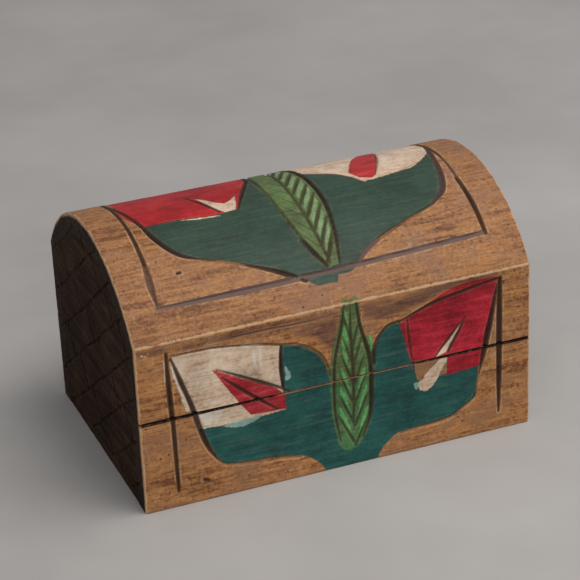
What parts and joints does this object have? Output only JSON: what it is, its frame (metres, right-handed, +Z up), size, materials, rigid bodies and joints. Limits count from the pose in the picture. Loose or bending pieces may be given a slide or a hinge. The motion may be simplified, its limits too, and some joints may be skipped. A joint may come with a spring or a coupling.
{
  "type": "jewelry box",
  "caption": "Small domed wooden jewelry box with a hinged lid, carved and painted leaf and petal relief, and dark slanting cuts on its ends.",
  "frame": {"origin": "centre of the underside, on the surface that the box stands on", "axes": "+Z up, +X along the width towards the right end, front face towards -Y, hinges at +Y"},
  "size_m": [0.15, 0.1019, 0.0915],
  "materials": {
    "carved_wood": "hand rubbed brown stain, carved and painted",
    "dark_stained_wood": "dark brown stain",
    "bare_wood": "unfinished",
    "brass": "aged"
  },
  "bodies": {
    "base": {"bottom_board": "bare_wood", "base_front_board": "carved_wood", "base_back_board": "carved_wood", "base_left_end": "dark_stained_wood", "base_right_end": "dark_stained_wood", "left_hinge_base_leaf": "brass", "left_hinge_pin": "brass", "left_hinge_base_nails": "brass", "right_hinge_base_leaf": "brass", "right_hinge_pin": "brass", "right_hinge_base_nails": "brass"},
    "lid": {"lid_front_rail": "carved_wood", "lid_back_rail": "carved_wood", "lid_left_end": "dark_stained_wood", "lid_right_end": "dark_stained_wood", "dome_panel": "carved_wood", "left_hinge_lid_leaf": "brass", "left_hinge_lid_nails": "brass", "right_hinge_lid_leaf": "brass", "right_hinge_lid_nails": "brass"}
  },
  "joints": [
    {"name": "lid_hinge", "type": "hinge", "parent": "base", "child": "lid", "pos_m": [0, 0.05105, 0.0354], "axis": [-1, 0, 0], "range_deg": [0, 155]}
  ]
}
